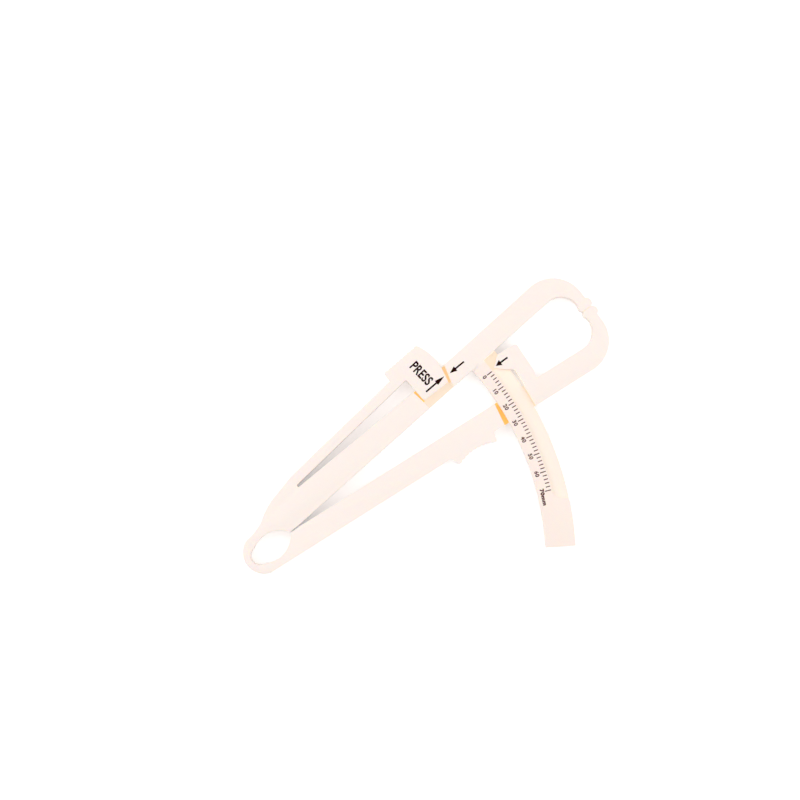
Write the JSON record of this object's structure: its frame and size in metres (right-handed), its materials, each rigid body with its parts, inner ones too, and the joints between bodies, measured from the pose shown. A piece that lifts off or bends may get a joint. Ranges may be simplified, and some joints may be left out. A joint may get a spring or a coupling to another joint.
{
  "type": "skinfold caliper",
  "caption": "Hand-held plastic skinfold caliper with two sprung arms, rounded jaws, a thumb-pressed PRESS lever and a curved millimetre scale read at a pointer flag.",
  "frame": {"origin": "on the hinge axis, in the middle of the web at the back of the spring loop, on the flat back face", "axes": "+X along the closed caliper to the jaws, +Y to the side of the scale arm and its press lever, +Z out of the printed face"},
  "size_m": [0.1682, 0.099, 0.007],
  "materials": {
    "ivory_plastic": "satin",
    "scale_plastic": "satin"
  },
  "bodies": {
    "scale_arm": {"scale_arm": "ivory_plastic", "scale_arc": "scale_plastic", "hinge_loop": "ivory_plastic", "press_leaf": "ivory_plastic"},
    "pointer_arm": {"pointer_arm": "ivory_plastic"},
    "press_tab": {"press_tab": "ivory_plastic"}
  },
  "joints": [
    {"name": "jaw_hinge", "type": "hinge", "parent": "scale_arm", "child": "pointer_arm", "pos_m": [0, 0, 0], "axis": [0, 0, -1], "range_deg": [0, 25.2], "deforming": ["hinge_loop"]},
    {"name": "press_hinge", "type": "hinge", "parent": "scale_arm", "child": "press_tab", "pos_m": [0.046, 0.0175, 0], "axis": [0, 0, 1], "range_deg": [0, 10.5], "deforming": ["press_leaf"]}
  ]
}
